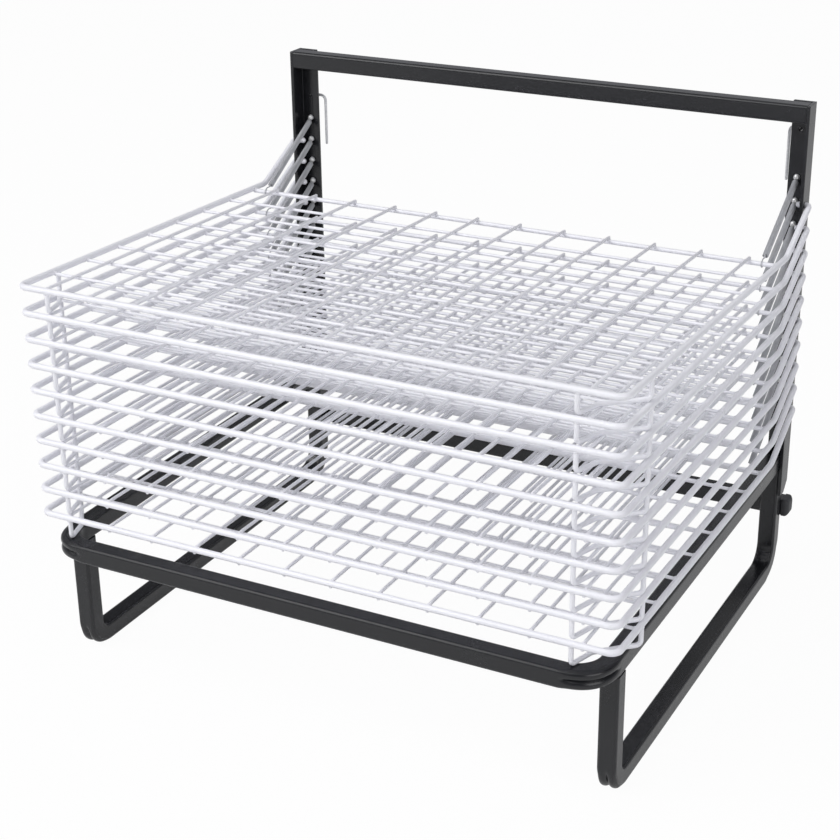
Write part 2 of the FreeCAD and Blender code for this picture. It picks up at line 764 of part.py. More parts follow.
# Write one file per piece
nodes = [
    left_upright,
    right_upright,
    top_bar,
    base_platform,
    left_sled_leg,
    right_sled_leg,
    rear_crossbar,
    left_end_cap,
    right_end_cap,
    spring_studs,
    left_latch_wire,
    right_latch_wire,
]
nodes += rims + meshes + feet + spring_pairs

for item in doc.Objects:
    if "Invalid" in item.State or "Error" in item.State:
        raise RuntimeError("%s failed: %s" % (item.Name, item.State))
for node in nodes:
    node.Label = node.Name
    if node.Shape.isNull() or not node.Shape.isValid():
        raise RuntimeError("bad shape: " + node.Name)

os.makedirs("parts", exist_ok=True)
for node in nodes:
    node.Shape.exportStep("parts/%s.step" % node.Label)
print("%d pieces written" % len(nodes))
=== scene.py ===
"""Looks of the table-top drying rack: black tube and angle, white wire shelves, zinc springs."""

import math

import bpy
import numpy as np
from mathutils import Matrix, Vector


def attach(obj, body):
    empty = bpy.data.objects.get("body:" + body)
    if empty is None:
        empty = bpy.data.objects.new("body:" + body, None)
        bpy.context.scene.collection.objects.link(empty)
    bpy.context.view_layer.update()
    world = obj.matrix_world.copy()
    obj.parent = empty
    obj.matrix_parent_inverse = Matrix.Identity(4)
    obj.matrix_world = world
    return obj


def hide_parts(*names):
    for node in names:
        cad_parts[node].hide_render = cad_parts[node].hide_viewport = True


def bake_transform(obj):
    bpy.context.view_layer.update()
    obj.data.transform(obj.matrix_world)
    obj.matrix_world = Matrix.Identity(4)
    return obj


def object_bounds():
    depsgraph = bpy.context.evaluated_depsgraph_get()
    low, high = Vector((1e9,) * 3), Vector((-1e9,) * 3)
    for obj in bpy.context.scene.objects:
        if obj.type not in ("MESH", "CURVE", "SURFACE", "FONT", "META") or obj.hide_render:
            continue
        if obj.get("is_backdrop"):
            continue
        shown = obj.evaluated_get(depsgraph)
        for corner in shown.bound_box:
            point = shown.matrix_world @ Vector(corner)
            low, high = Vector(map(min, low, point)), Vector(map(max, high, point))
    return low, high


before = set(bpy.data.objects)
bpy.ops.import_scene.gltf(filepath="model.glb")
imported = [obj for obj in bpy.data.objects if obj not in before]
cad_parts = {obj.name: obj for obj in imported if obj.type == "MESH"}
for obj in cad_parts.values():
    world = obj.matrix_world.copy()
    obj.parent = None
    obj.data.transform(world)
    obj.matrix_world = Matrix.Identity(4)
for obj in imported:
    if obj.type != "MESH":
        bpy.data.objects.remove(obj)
cad_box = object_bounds()

# Sizes in millimetres. They are the same as in the solids, apart from small details that follow
# the photograph more closely here: rounded tube edges, stud heads, the ends of the springs and
# depth wires, the latch wires and the end caps.

# Uprights, tubes and crossbar
OUTER_FACE = 230.0
FRAME_SIDE = 227.2
FRONT_FACE = -207.1
LEG_BACK = 191.65
ANGLE_BACK = 194.45
ANGLE_FRONT = 176.95
RACK_HEIGHT = 404.0
TUBE = 14.3
TUBE_HALF = TUBE / 2
TUBE_WALL = 1.2
TUBE_CORNER = 2.2
BORE_DEPTH = 22.0
LIP_ROUND = 0.35
LIP_SHARE = 0.04
PLATFORM_TOP = 110.8
PLATFORM_BEND = 32.0
LEG_SETBACK = 29.4
LEG_FRONT_BEND = 21.0
LEG_REAR_BEND = 29.0
CROSSBAR_Z = 50.5 + TUBE_HALF

# Folds that bending presses into a tube
LOBE_HALF = 3.62
LOBE_DROP = 3.0
LOBE_SWELL = 1.3
GROOVE_HALF = 1.5
GROOVE_DEPTH = 0.25
FOLD_LEAD = 3.0
FOLD_EASE = 9.0

# Rubbed edges of a tube: where they lie from its middle, and how far they reach to either side
EDGE_OUT = 6.4
EDGE_REACH = 0.6

# Row of hinges
PIVOT_Y = 184.75
PIVOT_TOP = 324.4
PIVOT_PITCH = 19.05
SHELVES = 10

# A shelf, lying level in a frame of its own whose origin is on the hinge line
RIM_WIRE = 4.8
RIM_SOLID_HALF = 2.6392
MESH_WIRE = 2.5
BACK_WIRE = 3.6
FOOT_WIRE = 3.5
DOME_SHARE = 0.8
SIDE_X = 232.85
RIM_TIP_X = 222.4
FRONT_BAR = -383.5
BACK_BAR = -70.4
REAR_BEND = -52.0
PLANE = -28.4
PIN_RADIUS = 2.6
REAR_RADIUS = 16.0
CORNER_RADIUS = 7.0
MESH_PITCH = 38.0
MESH_WIRES = 12
CROSS_WIRES = 7
CROSS_LIFT = 1.19
BAR_DROP = 1.71
FOOT_DROP = 17.05
FOOT_GAP = 0.45
FOOT_LENGTH = 45.0
LEFT_FOOT_INSET = 25.2
RIGHT_FOOT_INSET = 31.8

# Studs, springs and latch wires
STUD_X = 219.6
STUD_RISE = 19.5
NECK_LENGTH = 1.3
COIL = 4.9
COIL_WIRE = 1.0
COIL_PITCH = COIL_WIRE * 1.16
SPRING_DROP = 1.5
SPRING_START = 2.5
SPRING_END = 8.0
HOOK_RADIUS = 2.15
HOOK_FOOT = 3.15
HOOK_BAR_DROP = 1.714
LATCH_WIRE = 2.4
LATCH_REACH = 10.7
LATCH_STAND = 4.9
LATCH_DROP = 42.7

LEFT, RIGHT = -1, 1
X, Y, Z = np.eye(3)


# Shapes: rings of points carried along a line


def unit(vectors):
    """The same directions at length one."""
    vectors = np.asarray(vectors, float)
    return vectors / np.linalg.norm(vectors, axis=-1, keepdims=True)


def smooth(share):
    """Eases 0 to 1: 3 s^2 - 2 s^3 of the share, held at its ends."""
    share = np.clip(share, 0, 1)
    return share * share * (3 - 2 * share)


def bent_line(points, radii, step=9.0, lead=0.0, ease=1.0):
    """Centre line of a bent wire or tube: straight runs joined by arcs.

    In a corner of half angle h an arc of radius r starts r / tan(h) before the corner, and its
    points are centre + cos(t) * spoke + sin(t) * r * direction of travel, for t from 0 to the turn.
    With a lead, each arc gets close points that far before and after it. Also returns, for each
    point, how fully it is bent (0 on the runs, 1 from that many millimetres of ease inwards) and
    its share of the arc.
    """
    points = np.asarray(points, float)
    line, bend, share = [points[:1]], [np.zeros(1)], [np.zeros(1)]
    for before, corner, after, radius in zip(points, points[1:], points[2:], radii):
        towards, away = unit(before - corner), unit(after - corner)
        half = math.acos(float(towards @ away)) / 2
        turn = math.pi - 2 * half
        centre = corner + unit(towards + away) * radius / math.sin(half)
        first = corner + towards * radius / math.tan(half)
        last = corner + away * radius / math.tan(half)
        t = np.linspace(0, turn, max(4, int(math.degrees(turn) / step) + 1))[:, None]
        arc = centre + np.cos(t) * (first - centre) - np.sin(t) * radius * towards
        along = t[:, 0] * radius
        inside = lead + np.minimum(along, along[-1] - along)
        parts = [(arc, inside, t[:, 0] / turn)]
        if lead:
            gap = np.linspace(lead, 0, 7)[:-1, None]
            parts.insert(0, (first + towards * gap, lead - gap[:, 0], np.zeros(6)))
            gap = gap[::-1]
            parts.append((last + away * gap, lead - gap[:, 0], np.ones(6)))
        for spots, depth, part in parts:
            line.append(spots)
            bend.append(smooth(depth / ease))
            share.append(part)
    line.append(points[-1:])
    bend.append(np.zeros(1))
    share.append(np.zeros(1))
    return np.concatenate(line), np.concatenate(bend), np.concatenate(share)


def travel(line):
    """Direction of travel at each point: the mean of the runs before and after it."""
    runs = unit(np.diff(line, axis=0))
    return unit(np.concatenate([runs[:1], runs[:-1] + runs[1:], runs[-1:]]))


def wire(line, radius, flat, sides=12, dome=True):
    """Round wire along a line: ring points are line + r (cos(a) n + sin(a) b).

    n is the direction flat made square to the line, and b is the line's direction crossed with n.
    A dome at each end is r cos(q) wide at 0.8 r sin(q) beyond the end.
    """
    line = np.asarray(line, float)
    along = travel(line)
    width = np.full(len(line), float(radius))
    if dome:
        q = np.radians([28, 55, 78])[:, None]
        out = radius * np.sin(q) * DOME_SHARE
        line = np.concatenate([(line[0] - along[0] * out)[::-1], line, line[-1] + along[-1] * out])
        along = np.concatenate([along[:1].repeat(3, 0), along, along[-1:].repeat(3, 0)])
        ends = radius * np.cos(q[:, 0])
        width = np.concatenate([ends[::-1], width, ends])
    across = unit(flat - along * (along @ flat)[:, None])
    third = np.cross(along, across)
    a = np.arange(sides) * 2 * math.pi / sides
    ring = across[:, None] * np.cos(a)[:, None] + third[:, None] * np.sin(a)[:, None]
    return line[:, None] + ring * width[:, None, None]


def turned(profile, place, axis, flat, sides=20):
    """A shape turned on a lathe: each (radius, height) pair is a ring round the axis."""
    profile = np.asarray(profile, float)
    third = np.cross(axis, flat)
    a = np.arange(sides) * 2 * math.pi / sides
    ring = flat * np.cos(a)[:, None] + third * np.sin(a)[:, None]
    return place + axis * profile[:, 1, None, None] + ring * profile[:, 0, None, None]


def swelling(places, radii, rings=5, sides=8):
    """Weld swellings: ellipsoids, scaled along X, Y and Z.

    Before scaling, a ring has the radius sin(p) at the height -cos(p), for p from 0.12 to
    pi - 0.12.
    """
    p = np.linspace(0.12, math.pi - 0.12, rings)[:, None]
    a = np.arange(sides) * 2 * math.pi / sides
    ball = np.stack(
        [np.sin(p) * np.cos(a), np.sin(p) * np.sin(a), -np.cos(p) * np.ones(sides)], axis=-1
    )
    places = np.asarray(places, float).reshape(-1, 1, 1, 3)
    return places + ball * np.asarray(radii, float)


def tube_section(half, corner):
    """A square with rounded corners as (out, side) pairs, starting on the outer face.

    Each side runs straight between its corners, and each corner is a quarter circle.
    """
    flat = half - corner
    q = np.radians([18, 36, 54, 72])
    face = np.linspace(-flat, flat, 25)
    out, side = [], []
    for turn in range(4):
        x = np.concatenate([np.full(25, half), flat + corner * np.cos(q)])
        y = np.concatenate([face, flat + corner * np.sin(q)])
        c, s = (1, 0, -1, 0)[turn], (0, 1, 0, -1)[turn]
        out.append(c * x - s * y)
        side.append(s * x + c * y)
    return np.concatenate(out), np.concatenate(side)


def square_tube(points, radii, axis, open_ends=(False, False)):
    """Square tube with rounded edges, and the fold that bending presses into it.

    In a bend the outer face turns into two round lobes beside a groove. At s from the middle it
    sinks by drop * (1 - sqrt(1 - l^2)) + depth * exp(-(s / groove half)^2), where l is |s| less a
    quarter of the tube, over the lobe's half width. That goes with the square of how fully the
    tube is bent. The side faces sink with it, less and less towards the inner face. The lobes
    swell by sin^2 of pi times the share of the bend. The inner face is crushed towards the middle
    in two ripples, at 0.34 and 0.66 of the bend. The axis is the one that the tube is bent about.
    An open end has its wall, and its bore shows.
    """
    line, bend, share = bent_line(points, radii, step=4.5, lead=FOLD_LEAD, ease=FOLD_EASE)
    along = travel(line)
    outward = unit(np.cross(along, axis))
    sideways = -np.asarray(axis, float)
    out, side = tube_section(TUBE_HALF, TUBE_CORNER)
    outs = np.tile(out, (len(line), 1))
    sides = np.tile(side, (len(line), 1))
    inner = out < TUBE_CORNER - TUBE_HALF
    lobe = np.clip((np.abs(side) - TUBE_HALF / 2) / LOBE_HALF, -0.94, 0.985)
    groove = GROOVE_DEPTH * np.exp(-((side / GROOVE_HALF) ** 2))
    sink = LOBE_DROP * (1 - np.sqrt(1 - lobe**2)) + groove
    side_run = 2 * (TUBE_HALF - TUBE_CORNER)
    share_of_depth = np.clip((out + TUBE_HALF - TUBE_CORNER) / side_run, 0, 1)
    swell = LOBE_SWELL * np.sin(math.pi * share[:, None]) ** 2
    outs += bend[:, None] * (swell - bend[:, None] * sink) * share_of_depth
    first_ripple = np.exp(-(((share - 0.34) / 0.1) ** 2))
    ripple = first_ripple + 0.8 * np.exp(-(((share - 0.66) / 0.09) ** 2))
    crush = bend * (0.7 + 1.3 * ripple)
    outs += crush[:, None] * np.where(inner, np.clip(1 - (side / TUBE_HALF) ** 2, 0, 1), 0)
    rings = line[:, None] + outward[:, None] * outs[..., None] + sideways * sides[..., None]
    if any(open_ends):
        bore_out, bore_side = tube_section(TUBE_HALF - TUBE_WALL, TUBE_CORNER - TUBE_WALL)
        for end, sign in ((0, 1), (-1, -1)):
            if open_ends[end]:
                mouth = line[end] + outward[end] * bore_out[:, None] + sideways * bore_side[:, None]
                bore = np.stack([mouth + along[end] * sign * BORE_DEPTH, mouth])
                lip = rings[end] + (line[end] - rings[end]) * LIP_SHARE
                rings[end] = rings[end] + along[end] * sign * LIP_ROUND
                added = np.concatenate([bore, lip[None]])
                parts = [added, rings] if end == 0 else [rings, added[::-1]]
                rings = np.concatenate(parts)
    return rings


def weld_beads():
    """Beads closing the seam between the top bar and the rear flange: round, swelling in ripples.

    A bead's radius is 0.8 (1 + 0.12 sin(2.2 d)) at d millimetres along it.
    """
    seam_y, top, low = LEG_BACK - 0.2, RACK_HEIGHT - 0.95, RACK_HEIGHT - TUBE + 0.4
    edge = OUTER_FACE - 17.4
    for start, end in (
        ((edge, seam_y, top), (FRAME_SIDE - 0.2, seam_y, top)),
        ((edge, seam_y, low), (edge, seam_y, top)),
    ):
        start, end = np.array(start), np.array(end)
        share = np.linspace(0, 1, 40)[:, None]
        run = start + (end - start) * share
        bead = wire(run, 0.8, Y, sides=8, dome=False)
        swell = 1 + 0.12 * np.sin(2.2 * np.linalg.norm(end - start) * share)[:, :, None]
        bead = run[:, None] + (bead - run[:, None]) * swell
        yield bead
        yield mirrored(bead)


def end_cap():
    """Moulded cap: a square plug in the tube, then a head that narrows to its outer face.

    Each ring is the tube's rounded square at a distance outside the leg, with a half side and a
    corner radius of its own.
    """
    centre = np.array([FRAME_SIDE, LEG_BACK + TUBE_HALF, CROSSBAR_Z])
    profile = [
        (-11.0, 5.85, 0.6), (0.0, 5.85, 0.6), (0.0, 7.3, 1.9), (0.3, 7.6, 2.0), (3.4, 7.6, 2.0),
        (4.7, 7.05, 2.0), (5.6, 6.1, 1.9), (6.2, 5.1, 1.8), (6.4, 4.2, 1.6),
    ]  # fmt: skip
    rings = []
    for distance, half, corner in profile:
        out, side = tube_section(half, corner)
        rings.append(centre + X * distance + out[:, None] * Y + side[:, None] * Z)
    return np.stack(rings)


def mirrored(rings):
    """The same rings on the other side of the rack, still facing outwards."""
    return rings[..., ::-1, :] * np.array([-1.0, 1.0, 1.0])


class Skin:
    """Bands of rings, each closed at both ends, gathered into one mesh."""

    def __init__(self):
        self.points, self.marks, self.quads, self.ends, self.count = [], [], [], [], 0

    def band(self, rings, mark=0.0):
        """Adds copies x rings x points, as four-sided faces, with the end rings closed."""
        rings = np.asarray(rings, float)
        rings = rings if rings.ndim == 4 else rings[None]
        index = self.count + np.arange(rings[..., 0].size).reshape(rings.shape[:3])
        beside = np.roll(index, -1, axis=2)
        quads = (index[:, :-1], beside[:, :-1], beside[:, 1:], index[:, 1:])
        self.quads.append(np.stack(quads, axis=-1).reshape(-1, 4))
        self.ends += [index[:, 0, ::-1], index[:, -1]]
        self.points.append(rings.reshape(-1, 3))
        self.marks.append(np.broadcast_to(mark, rings.shape[:3]).reshape(-1))
        self.count += rings[..., 0].size
        return self

    def piece(self, name, finish, body, stands_for, slot, move=None, sharp=38):
        """The finished object, in metres, riding on its body in place of its solids."""
        points = np.concatenate(self.points)
        points = (move(points) if move else points) / 1000
        faces = np.concatenate(self.quads).tolist()
        for ends in self.ends:
            faces += ends.tolist()
        mesh = bpy.data.meshes.new(name)
        mesh.from_pydata(points.tolist(), [], faces)
        mesh.polygons.foreach_set("use_smooth", [True] * len(mesh.polygons))
        mesh.set_sharp_from_angle(angle=math.radians(sharp))
        mark = mesh.attributes.new("mark", "FLOAT", "POINT")
        mark.data.foreach_set("value", np.concatenate(self.marks).astype(np.float32))
        mesh.materials.append(finish)
        thing = bpy.data.objects.new(name, mesh)
        bpy.context.scene.collection.objects.link(thing)
        if body:
            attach(thing, body)
        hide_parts(*stands_for)
        return thing


# Shelves: rim, mesh and stand-offs in the shelf's own frame


def rest_tilt(shelf):
    """Angle of a shelf at rest: its front stands on the stack of stand-offs below it."""
    below = SHELVES - 1 - shelf
    front = PLATFORM_TOP + FOOT_DROP + FOOT_GAP + below * (FOOT_DROP + RIM_SOLID_HALF + FOOT_GAP)
    rise = front - PIVOT_TOP + shelf * PIVOT_PITCH
    return math.asin(rise / math.hypot(FRONT_BAR, PLANE)) + math.atan2(-PLANE, -FRONT_BAR)


def hung(shelf):
    """Puts points of the shelf's own frame in the rack: turned about X by the tilt, then moved."""
    tilt = rest_tilt(shelf)
    turn = np.array(
        [[1, 0, 0], [0, math.cos(tilt), math.sin(tilt)], [0, -math.sin(tilt), math.cos(tilt)]]
    )
    hinge = np.array([0, PIVOT_Y, PIVOT_TOP - shelf * PIVOT_PITCH])
    return lambda points: points @ turn.T + hinge


def rim():
    """Heavy wire bent round three sides, with its ends turned in through the uprights.

    The domes of the ends reach to the tips.
    """
    tip = RIM_TIP_X + DOME_SHARE * RIM_WIRE / 2
    points = [
        (-tip, 0, 0),
        (-SIDE_X, 0, 0),
        (-SIDE_X, REAR_BEND, PLANE),
        (-SIDE_X, FRONT_BAR, PLANE),
        (SIDE_X, FRONT_BAR, PLANE),
        (SIDE_X, REAR_BEND, PLANE),
        (SIDE_X, 0, 0),
        (tip, 0, 0),
    ]
    radii = [PIN_RADIUS, REAR_RADIUS, CORNER_RADIUS]
    line = bent_line(points, radii + radii[::-1])[0]
    return wire(line, RIM_WIRE / 2, Z, sides=16)


def mesh_of_wires(skin):
    """Depth wires on cross wires on a back bar, with a swelling of coat at each weld.

    Each depth wire starts half a millimetre lower on the front bar, and ends just behind the
    back bar.
    """
    radius = MESH_WIRE / 2
    columns = (np.arange(MESH_WIRES) - (MESH_WIRES - 1) / 2) * MESH_PITCH
    cell = (BACK_BAR - FRONT_BAR) / (CROSS_WIRES + 1)
    rows = FRONT_BAR + cell * np.arange(1, CROSS_WIRES + 1)
    over, under, bar = PLANE + CROSS_LIFT, PLANE - CROSS_LIFT, PLANE - BAR_DROP
    for x in columns:
        run = [
            (x, FRONT_BAR + 0.6, over - 0.5),
            (x, FRONT_BAR + 6, over),
            (x, BACK_BAR + 1.5, over),
        ]
        skin.band(wire(run, radius, X, sides=10))
    for y in rows:
        run = [(-SIDE_X + 1, y, under), (SIDE_X - 1, y, under)]
        skin.band(wire(run, radius, Z, sides=10, dome=False))
    run = [(-SIDE_X + 1, BACK_BAR, bar), (SIDE_X - 1, BACK_BAR, bar)]
    skin.band(wire(run, BACK_WIRE / 2, Z, sides=14, dome=False))

    edges = np.array([-SIDE_X + 2.4, SIDE_X - 2.4])
    for across, deep, high, radii, mark in (
        (columns, rows, PLANE, (1.8, 1.8, 1.55), 1.0),
        (columns, [BACK_BAR], PLANE + 0.1, (1.95, 2.2, 1.5), 1.0),
        (columns, [FRONT_BAR + 2.3], PLANE + 0.7, (1.9, 1.9, 1.8), 1.0),
        (columns, [FRONT_BAR - 0.3], PLANE - 2.2, (1.35, 1.3, 1.35), 0.6),
        (edges, rows, PLANE - 0.9, (1.7, 1.9, 1.8), 1.0),
        (edges, [BACK_BAR], PLANE - 1.3, (2.0, 2.5, 2.3), 1.0),
    ):
        places = np.stack(np.meshgrid(across, deep, [high]), axis=-1)
        skin.band(swelling(places, radii), mark)
    return skin


def stand_offs(skin):
    """Bent wire under each front corner, welded up into the rim at both ends."""
    low = PLANE - FOOT_DROP + FOOT_WIRE / 2 - 0.42
    top = PLANE - 1.2
    for side, inset in ((LEFT, LEFT_FOOT_INSET), (RIGHT, RIGHT_FOOT_INSET)):
        points = [
            (SIDE_X - inset, FRONT_BAR, top),
            (SIDE_X - inset, FRONT_BAR, low),
            (SIDE_X - inset + 6.5, FRONT_BAR + 21.0, low),
            (SIDE_X, FRONT_BAR + FOOT_LENGTH, low),
            (SIDE_X, FRONT_BAR + FOOT_LENGTH, top),
        ]
        line = bent_line(points, [3.4, 6.8, 3.4])[0]
        foot = wire(line, FOOT_WIRE / 2, np.array([0.8, -0.6, 0.0]), sides=12, dome=False)
        skin.band(foot if side == RIGHT else mirrored(foot))
        ends = [(side * p[0], p[1], PLANE - 2.0) for p in (points[0], points[-1])]
        skin.band(swelling(ends, (2.2, 2.2, 1.9)), 1.0)
    return skin


# Studs with their springs, and the latch wires


def stud_height(shelf):
    """Height of the stud that holds a shelf's spring."""
    return PIVOT_TOP - shelf * PIVOT_PITCH + STUD_RISE


def headed_stud(shelf, side):
    """Domed head on a neck, with its shank through the flange and riveted over behind."""
    depth = ANGLE_BACK - LEG_BACK
    profile = [
        (0.3, -depth - 0.85), (1.4, -depth - 0.8), (2.1, -depth - 0.5), (2.35, -depth),
        (1.4, -depth), (1.4, NECK_LENGTH - 0.02), (2.15, NECK_LENGTH), (2.36, NECK_LENGTH + 0.18),
        (2.34, NECK_LENGTH + 0.5), (2.1, NECK_LENGTH + 0.95), (1.66, NECK_LENGTH + 1.24),
        (1.05, NECK_LENGTH + 1.42), (0.3, NECK_LENGTH + 1.48),
    ]  # fmt: skip
    return turned(profile, np.array([side * STUD_X, LEG_BACK, stud_height(shelf)]), -Y, X)


def coil(start, end, radius, wire_radius, turns, first, per_turn=12, sides=6):
    """Close-wound turns: start + share * (end - start), plus radius times the turning spoke."""
    axis = unit(end - start)
    up = np.cross(X, axis)
    share = np.linspace(0, 1, int(turns * per_turn) + 1)
    a = first + share * turns * 2 * math.pi
    spoke = X * np.cos(a)[:, None] + up * np.sin(a)[:, None]
    line = start + (end - start) * share[:, None] + spoke * radius
    return line, wire(line, wire_radius, axis, sides=sides, dome=False)


def tension_spring(skin, shelf, side):
    """One spring: hook round the stud's neck, close-wound body, and hook round the back bar.

    The upper hook is an arc round the stud in the plane of the flange, drawn in below it to the
    body's first turn. The lower hook runs from the body's last turn to an arc round the bar.
    """
    stud = np.array([side * STUD_X, LEG_BACK - NECK_LENGTH / 2, stud_height(shelf)])
    pull = stud - Z * SPRING_DROP
    bar = hung(shelf)(np.array([side * STUD_X, BACK_BAR, PLANE - HOOK_BAR_DROP]))
    axis = unit(bar - pull)
    start, end = pull + axis * SPRING_START, bar - axis * SPRING_END
    turns = round(np.linalg.norm(end - start) / COIL_PITCH) + 0.5
    radius, thin = (COIL - COIL_WIRE) / 2, COIL_WIRE / 2
    line, body = coil(start, end, radius, thin, turns, math.pi / 2)
    skin.band(body)
    a = np.radians(np.linspace(205, -42, 16))[:, None]
    loop = stud + HOOK_RADIUS * (X * side * np.cos(a) + Z * np.sin(a))
    neck = bent_line([loop[-1], stud - Z * HOOK_FOOT, line[0]], [0.5])[0]
    hook = np.concatenate([loop[:-1], neck])
    skin.band(wire(hook, thin, Y, sides=8))
    rise = np.cross(X, axis)
    rise = rise * (1 if rise[2] > 0 else -1)
    a = np.radians(np.linspace(0, 235, 15))[:, None]
    around = bar + (BACK_WIRE / 2 + thin + 0.05) * (rise * np.cos(a) + axis * np.sin(a))
    knees = [line[-1], end + axis * 1.3, around[0] - axis * 3.0, around[0]]
    lead = bent_line(knees, [0.7, 3.0])[0]
    skin.band(wire(np.concatenate([lead[:-1], around]), thin, X, sides=8))


def latch(side, step):
    """Thin wire hooked through the flange above the studs, hanging behind it.

    Its end in the hole is darkened as painted shade of the hole: the mark eases to 1 from 0.4 mm
    behind the flange to 0.6 mm inside it.
    """
    top = PIVOT_TOP + STUD_RISE + step * PIVOT_PITCH
    x, hang_x, hang_y = side * STUD_X, side * (STUD_X - LATCH_REACH), ANGLE_BACK + LATCH_STAND
    points = [
        (x, LEG_BACK + 1.8, top),
        (x, hang_y, top),
        (hang_x, hang_y, top),
        (hang_x, hang_y, top - LATCH_DROP),
    ]
    line = bent_line(points, [2.8, 4.8])[0]
    rings = wire(line, LATCH_WIRE / 2, unit(np.array([1.0, 1.0, 1.0]) * (-side, 1, 1)), sides=12)
    # painted shade: the mark darkens the part of the wire that lies inside the flange's hole
    hole_shade = smooth(ANGLE_BACK + 0.4 - rings[..., 1].mean(axis=1, keepdims=True))
    return rings, hole_shade


# Finishes


class Amount:
    """A number that changes over a surface; Python's + and * add Math nodes to it."""

    def __init__(self, finish, socket):
        self.finish, self.socket = finish, socket

    def math(self, operation, *values):
        """One Math node on these values."""
        sockets = dict(enumerate(values))
        return self.finish.node("ShaderNodeMath", {"operation": operation}, sockets)

    def __add__(self, other):
        return self.math("ADD", self, other)

    def __radd__(self, other):
        return self.math("ADD", other, self)

    def __mul__(self, other):
        return self.math("MULTIPLY", self, other)

    def __rmul__(self, other):
        return self.math("MULTIPLY", other, self)


class Finish:
    """One material: a Principled shader fed by nodes on Object coordinates."""

    def __init__(self, name):
        self.material = bpy.data.materials.new(name)
        self.material.use_nodes = True
        self.tree = self.material.node_tree
        self.tree.nodes.clear()
        self.place = self.node("ShaderNodeTexCoord", out="Object")

    def node(self, kind, settings=None, sockets=None, out=0):
        """Adds a node: its settings first, then the values or links of its sockets."""
        made = self.tree.nodes.new(kind)
        for name, value in (settings or {}).items():
            setattr(made, name, value)
        for name, value in (sockets or {}).items():
            if isinstance(value, Amount):
                self.tree.links.new(value.socket, made.inputs[name])
            else:
                made.inputs[name].default_value = value
        return Amount(self, made.outputs[out])

    def noise(self, per_metre, detail=2.0, rough=0.5, stretch=None):
        """Soft noise with that many features to a metre, stretched along the axes where asked."""
        where = self.place
        if stretch:
            where = self.node("ShaderNodeMapping", {}, {"Vector": where, "Scale": stretch})
        sockets = {"Vector": where, "Scale": per_metre, "Detail": detail, "Roughness": rough}
        return self.node("ShaderNodeTexNoise", {}, sockets)

    def step(self, value, low, high):
        """0 below low, 1 above high, and eased between them."""
        settings = {"interpolation_type": "SMOOTHSTEP"}
        return self.node("ShaderNodeMapRange", settings, {0: value, 1: low, 2: high})

    def mix(self, factor, first, second):
        """From the first colour to the second."""
        colours = [c if isinstance(c, Amount) else (*c, 1.0) for c in (first, second)]
        sockets = {0: factor, 6: colours[0], 7: colours[1]}
        return self.node("ShaderNodeMix", {"data_type": "RGBA"}, sockets, out=2)

    def mark(self):
        """The piece's own mark: rubbed edges on tube, welds on wire, painted shade on a latch's end
        in its hole.
        """
        return self.node("ShaderNodeAttribute", {"attribute_name": "mark"}, out="Fac")

    def relief(self, height, millimetres, strength=1.0, under=None):
        """A bump of that many millimetres from low to high."""
        sockets = {"Height": height, "Distance": millimetres / 1000, "Strength": strength}
        if under:
            sockets["Normal"] = under
        return self.node("ShaderNodeBump", {}, sockets)

    def surface(self, shader):
        """Joins a shader to the material's output."""
        output = self.tree.nodes.new("ShaderNodeOutputMaterial")
        self.tree.links.new(shader.socket, output.inputs["Surface"])
        return self.material

    def done(self, **sockets):
        """The Principled shader, joined to the output."""
        names = {name.replace("_", " "): value for name, value in sockets.items()}
        names = {k: (*v, 1.0) if isinstance(v, tuple) else v for k, v in names.items()}
        return self.surface(self.node("ShaderNodeBsdfPrincipled", {}, names))


def black_powder_coat():
    """Satin black powder coat: fine orange peel, cloudy sheen, thinner and rubbed along edges."""
    f = Finish("black_powder_coat")
    cloud = f.noise(22, 3)
    rub = f.step(f.noise(160, 4, 0.7), 0.45, 0.75) * f.mark()
    peel = f.noise(950, 1.5)
    dust = f.step(f.noise(420, 2, 0.6), 0.66, 0.74)
    colour = f.mix(cloud, (0.0075, 0.008, 0.0095), (0.012, 0.0125, 0.015))
    colour = f.mix(rub * 0.35, colour, (0.030, 0.031, 0.034))
    colour = f.mix(dust * 0.05, colour, (0.10, 0.10, 0.105))
    rough = 0.19 + 0.10 * cloud + 0.03 * peel + 0.16 * f.mark()
    return f.done(
        Base_Color=colour, Roughness=rough, Normal=f.relief(peel, 0.013, 0.8), IOR=1.5
    )


def white_wire_coat():
    """Glossy white plastic coat, dipped: slightly wavy, a little duller and greyer at the welds."""
    f = Finish("white_wire_coat")
    cloud = f.noise(28, 3)
    waves = f.noise(240, 2)
    fine = f.noise(1500, 2)
    weld = f.mark()
    smudge = f.step(f.noise(75, 4, 0.65), 0.56, 0.78)
    colour = f.mix(cloud, (0.85, 0.85, 0.905), (0.905, 0.905, 0.94))
    colour = f.mix(smudge * 0.22, colour, (0.76, 0.75, 0.77))
    colour = f.mix(weld * (0.12 + 0.30 * waves), colour, (0.72, 0.72, 0.765))
    rough = 0.24 + 0.12 * cloud + 0.10 * smudge + 0.08 * weld
    bump = f.relief(fine, 0.012, 0.5, under=f.relief(waves, 0.16, 0.7))
    return f.done(Base_Color=colour, Roughness=rough, Normal=bump, IOR=1.49)


def zinc_spring_wire():
    """Drawn spring wire with a dull zinc finish: grey, streaky and unevenly bright."""
    f = Finish("zinc_spring_wire")
    tone = f.noise(130, 3, 0.6)
    streak = f.noise(900, 2, 0.6, stretch=(0.25, 1.0, 1.0))
    stain = f.step(f.noise(60, 3), 0.5, 0.75)
    colour = f.mix(tone, (0.50, 0.51, 0.53), (0.70, 0.705, 0.73))
    colour = f.mix(stain * 0.35, colour, (0.47, 0.46, 0.44))
    rough = 0.34 + 0.16 * tone + 0.08 * streak
    bump = f.relief(streak, 0.02, 0.6)
    return f.done(Base_Color=colour, Metallic=0.7, Roughness=rough, Normal=bump)


